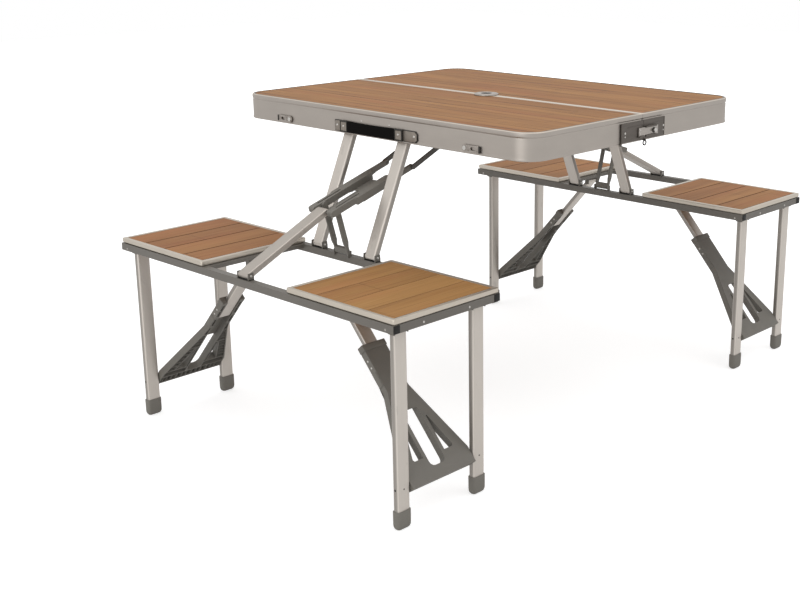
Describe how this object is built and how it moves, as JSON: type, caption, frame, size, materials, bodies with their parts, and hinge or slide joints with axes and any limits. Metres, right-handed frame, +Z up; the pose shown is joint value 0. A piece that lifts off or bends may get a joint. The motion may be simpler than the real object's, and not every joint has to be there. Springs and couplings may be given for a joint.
{
  "type": "folding camping picnic table",
  "caption": "Suitcase-style folding picnic table: a two-half case opens to a wood-topped table with attached bench-frame seats on braced, folding legs and an umbrella hole.",
  "frame": {"origin": "on the ground under the middle of the table, below the umbrella hole", "axes": "+X across the seam, from the half with the carrying handle to the other half; +Y along the seam, away from the side with the lock; +Z up"},
  "size_m": [1.36, 0.8616, 0.6735],
  "materials": {
    "aluminium_extrusion": "satin",
    "bamboo": "satin varnish",
    "dark_metal": "satin",
    "light_tube": "matte anodised",
    "dark_plastic": "moulded, matte",
    "black_plastic": "matte",
    "steel": "satin"
  },
  "bodies": {
    "table_half_a": {"table_rim_a": "aluminium_extrusion", "table_board_a": "bamboo", "umbrella_ring": "aluminium_extrusion", "handle_bracket_front": "steel", "handle_bracket_back": "steel", "lock_plate_a": "dark_metal"},
    "table_half_b": {"table_rim_b": "aluminium_extrusion", "table_board_b": "bamboo", "lock_plate_b": "dark_metal"},
    "handle": {"handle_grip": "black_plastic"},
    "catch_front": {"catch_front": "steel"},
    "catch_back": {"catch_back": "steel"},
    "lock_bolt": {"lock_bolt": "steel"},
    "lock_ring": {"lock_ring": "steel"},
    "support_legs_a": {"support_leg_front_a": "light_tube", "support_leg_back_a": "light_tube"},
    "seat_unit_a": {"seat_frame_a": "dark_metal", "seat_board_front_a": "bamboo", "seat_trim_front_a": "aluminium_extrusion", "seat_board_back_a": "bamboo", "seat_trim_back_a": "aluminium_extrusion"},
    "brace_bar_a": {"brace_bar_a": "light_tube"},
    "brace_channel_a": {"brace_channel_a": "dark_plastic"},
    "brace_arms_a": {"brace_arms_a": "dark_metal"},
    "lift_link_a": {"lift_link_a": "dark_plastic"},
    "legs_front_a": {"leg_outer_front_a": "light_tube", "foot_outer_front_a": "dark_plastic", "leg_inner_front_a": "light_tube", "foot_inner_front_a": "dark_plastic"},
    "leg_web_front_a": {"leg_web_front_a": "dark_plastic"},
    "leg_strut_front_a": {"leg_strut_front_a": "light_tube"},
    "legs_back_a": {"leg_outer_back_a": "light_tube", "foot_outer_back_a": "dark_plastic", "leg_inner_back_a": "light_tube", "foot_inner_back_a": "dark_plastic"},
    "leg_web_back_a": {"leg_web_back_a": "dark_plastic"},
    "leg_strut_back_a": {"leg_strut_back_a": "light_tube"},
    "support_legs_b": {"support_leg_front_b": "light_tube", "support_leg_back_b": "light_tube"},
    "seat_unit_b": {"seat_frame_b": "dark_metal", "seat_board_front_b": "bamboo", "seat_trim_front_b": "aluminium_extrusion", "seat_board_back_b": "bamboo", "seat_trim_back_b": "aluminium_extrusion"},
    "brace_bar_b": {"brace_bar_b": "light_tube"},
    "brace_channel_b": {"brace_channel_b": "dark_plastic"},
    "brace_arms_b": {"brace_arms_b": "dark_metal"},
    "lift_link_b": {"lift_link_b": "dark_plastic"},
    "legs_front_b": {"leg_outer_front_b": "light_tube", "foot_outer_front_b": "dark_plastic", "leg_inner_front_b": "light_tube", "foot_inner_front_b": "dark_plastic"},
    "leg_web_front_b": {"leg_web_front_b": "dark_plastic"},
    "leg_strut_front_b": {"leg_strut_front_b": "light_tube"},
    "legs_back_b": {"leg_outer_back_b": "light_tube", "foot_outer_back_b": "dark_plastic", "leg_inner_back_b": "light_tube", "foot_inner_back_b": "dark_plastic"},
    "leg_web_back_b": {"leg_web_back_b": "dark_plastic"},
    "leg_strut_back_b": {"leg_strut_back_b": "light_tube"}
  },
  "joints": [
    {"name": "seam_fold", "type": "hinge", "parent": "table_half_a", "child": "table_half_b", "pos_m": [0, 0, 0.616], "axis": [0, -1, 0], "range_deg": [-60, 0]},
    {"name": "unit_a_fold", "type": "hinge", "parent": "table_half_a", "child": "support_legs_a", "pos_m": [-0.31236, 0, 0.651], "axis": [0, 1, 0], "range_deg": [-113.63, 0]},
    {"name": "unit_a_level", "type": "hinge", "parent": "support_legs_a", "child": "seat_unit_a", "pos_m": [-0.4235, 0, 0.397], "axis": [0, 1, 0], "range_deg": [0, 113.64]},
    {"name": "brace_arms_a_swing", "type": "hinge", "parent": "table_half_a", "child": "brace_arms_a", "pos_m": [-0.055, 0, 0.645], "axis": [0, 1, 0], "range_deg": [0, 24.97]},
    {"name": "brace_channel_a_swing", "type": "hinge", "parent": "brace_arms_a", "child": "brace_channel_a", "pos_m": [-0.27, 0, 0.551], "axis": [0, 1, 0], "range_deg": [-187.69, 0]},
    {"name": "brace_bar_a_swing", "type": "hinge", "parent": "seat_unit_a", "child": "brace_bar_a", "pos_m": [-0.6705, 0, 0.3965], "axis": [0, 1, 0], "range_deg": [0, 25.06]},
    {"name": "lift_link_a_swing", "type": "hinge", "parent": "seat_unit_a", "child": "lift_link_a", "pos_m": [-0.43, 0, 0.3935], "axis": [0, 1, 0], "range_deg": [-73.16, 0]},
    {"name": "legs_front_a_fold", "type": "hinge", "parent": "seat_unit_a", "child": "legs_front_a", "pos_m": [-0.552, -0.394, 0.372], "axis": [-1, 0, 0], "range_deg": [-90, 0]},
    {"name": "leg_strut_front_a_swing", "type": "hinge", "parent": "seat_unit_a", "child": "leg_strut_front_a", "pos_m": [-0.552, -0.131, 0.372], "axis": [-1, 0, 0], "range_deg": [0, 48.29]},
    {"name": "leg_web_front_a_swing", "type": "hinge", "parent": "leg_strut_front_a", "child": "leg_web_front_a", "pos_m": [-0.552, -0.25185, 0.23644], "axis": [-1, 0, 0], "range_deg": [-180.01, 0]},
    {"name": "legs_back_a_fold", "type": "hinge", "parent": "seat_unit_a", "child": "legs_back_a", "pos_m": [-0.552, 0.394, 0.372], "axis": [1, 0, 0], "range_deg": [-90, 0]},
    {"name": "leg_strut_back_a_swing", "type": "hinge", "parent": "seat_unit_a", "child": "leg_strut_back_a", "pos_m": [-0.552, 0.131, 0.372], "axis": [1, 0, 0], "range_deg": [0, 48.29]},
    {"name": "leg_web_back_a_swing", "type": "hinge", "parent": "leg_strut_back_a", "child": "leg_web_back_a", "pos_m": [-0.552, 0.25185, 0.23644], "axis": [1, 0, 0], "range_deg": [-180.01, 0]},
    {"name": "unit_b_fold", "type": "hinge", "parent": "table_half_b", "child": "support_legs_b", "pos_m": [0.31236, 0, 0.651], "axis": [0, -1, 0], "range_deg": [-113.63, 0]},
    {"name": "unit_b_level", "type": "hinge", "parent": "support_legs_b", "child": "seat_unit_b", "pos_m": [0.4235, 0, 0.397], "axis": [0, -1, 0], "range_deg": [0, 113.64]},
    {"name": "brace_arms_b_swing", "type": "hinge", "parent": "table_half_b", "child": "brace_arms_b", "pos_m": [0.055, 0, 0.645], "axis": [0, -1, 0], "range_deg": [0, 24.97]},
    {"name": "brace_channel_b_swing", "type": "hinge", "parent": "brace_arms_b", "child": "brace_channel_b", "pos_m": [0.27, 0, 0.551], "axis": [0, -1, 0], "range_deg": [-187.69, 0]},
    {"name": "brace_bar_b_swing", "type": "hinge", "parent": "seat_unit_b", "child": "brace_bar_b", "pos_m": [0.6705, 0, 0.3965], "axis": [0, -1, 0], "range_deg": [0, 25.06]},
    {"name": "lift_link_b_swing", "type": "hinge", "parent": "seat_unit_b", "child": "lift_link_b", "pos_m": [0.43, 0, 0.3935], "axis": [0, -1, 0], "range_deg": [-73.16, 0]},
    {"name": "legs_front_b_fold", "type": "hinge", "parent": "seat_unit_b", "child": "legs_front_b", "pos_m": [0.552, -0.394, 0.372], "axis": [-1, 0, 0], "range_deg": [-90, 0]},
    {"name": "leg_strut_front_b_swing", "type": "hinge", "parent": "seat_unit_b", "child": "leg_strut_front_b", "pos_m": [0.552, -0.131, 0.372], "axis": [-1, 0, 0], "range_deg": [0, 48.29]},
    {"name": "leg_web_front_b_swing", "type": "hinge", "parent": "leg_strut_front_b", "child": "leg_web_front_b", "pos_m": [0.552, -0.25185, 0.23644], "axis": [-1, 0, 0], "range_deg": [-180.01, 0]},
    {"name": "legs_back_b_fold", "type": "hinge", "parent": "seat_unit_b", "child": "legs_back_b", "pos_m": [0.552, 0.394, 0.372], "axis": [1, 0, 0], "range_deg": [-90, 0]},
    {"name": "leg_strut_back_b_swing", "type": "hinge", "parent": "seat_unit_b", "child": "leg_strut_back_b", "pos_m": [0.552, 0.131, 0.372], "axis": [1, 0, 0], "range_deg": [0, 48.29]},
    {"name": "leg_web_back_b_swing", "type": "hinge", "parent": "leg_strut_back_b", "child": "leg_web_back_b", "pos_m": [0.552, 0.25185, 0.23644], "axis": [1, 0, 0], "range_deg": [-180.01, 0]},
    {"name": "handle_swing", "type": "hinge", "parent": "table_half_a", "child": "handle", "pos_m": [-0.3448, 0, 0.6405], "axis": [0, 1, 0], "range_deg": [0, 90]},
    {"name": "catch_front_turn", "type": "hinge", "parent": "table_half_a", "child": "catch_front", "pos_m": [-0.34355, -0.262, 0.627], "axis": [1, 0, 0], "range_deg": [0, 90]},
    {"name": "catch_back_turn", "type": "hinge", "parent": "table_half_a", "child": "catch_back", "pos_m": [-0.34355, 0.262, 0.627], "axis": [-1, 0, 0], "range_deg": [0, 90]},
    {"name": "lock_bolt_slide", "type": "slide", "parent": "table_half_b", "child": "lock_bolt", "axis": [1, 0, 0], "range_m": [0, 0.02]},
    {"name": "lock_ring_swing", "type": "hinge", "parent": "table_half_b", "child": "lock_ring", "pos_m": [0.005, -0.4278, 0.6166], "axis": [-1, 0, 0], "range_deg": [0, 75]}
  ],
  "couplings": [
    {"joint": "unit_a_level", "follows": "unit_a_fold", "ratio": -1},
    {"joint": "brace_arms_a_swing", "follows": "unit_a_fold", "ratio": -0.21964},
    {"joint": "brace_channel_a_swing", "follows": "unit_a_fold", "ratio": 1.6517},
    {"joint": "brace_bar_a_swing", "follows": "unit_a_fold", "ratio": -0.22045},
    {"joint": "lift_link_a_swing", "follows": "unit_a_fold", "ratio": 0.64376},
    {"joint": "leg_strut_front_a_swing", "follows": "legs_front_a_fold", "ratio": -0.53647},
    {"joint": "leg_web_front_a_swing", "follows": "legs_front_a_fold", "ratio": 2},
    {"joint": "leg_strut_back_a_swing", "follows": "legs_back_a_fold", "ratio": -0.53647},
    {"joint": "leg_web_back_a_swing", "follows": "legs_back_a_fold", "ratio": 2},
    {"joint": "unit_b_level", "follows": "unit_b_fold", "ratio": -1},
    {"joint": "brace_arms_b_swing", "follows": "unit_b_fold", "ratio": -0.21964},
    {"joint": "brace_channel_b_swing", "follows": "unit_b_fold", "ratio": 1.6517},
    {"joint": "brace_bar_b_swing", "follows": "unit_b_fold", "ratio": -0.22045},
    {"joint": "lift_link_b_swing", "follows": "unit_b_fold", "ratio": 0.64376},
    {"joint": "leg_strut_front_b_swing", "follows": "legs_front_b_fold", "ratio": -0.53647},
    {"joint": "leg_web_front_b_swing", "follows": "legs_front_b_fold", "ratio": 2},
    {"joint": "leg_strut_back_b_swing", "follows": "legs_back_b_fold", "ratio": -0.53647},
    {"joint": "leg_web_back_b_swing", "follows": "legs_back_b_fold", "ratio": 2}
  ]
}
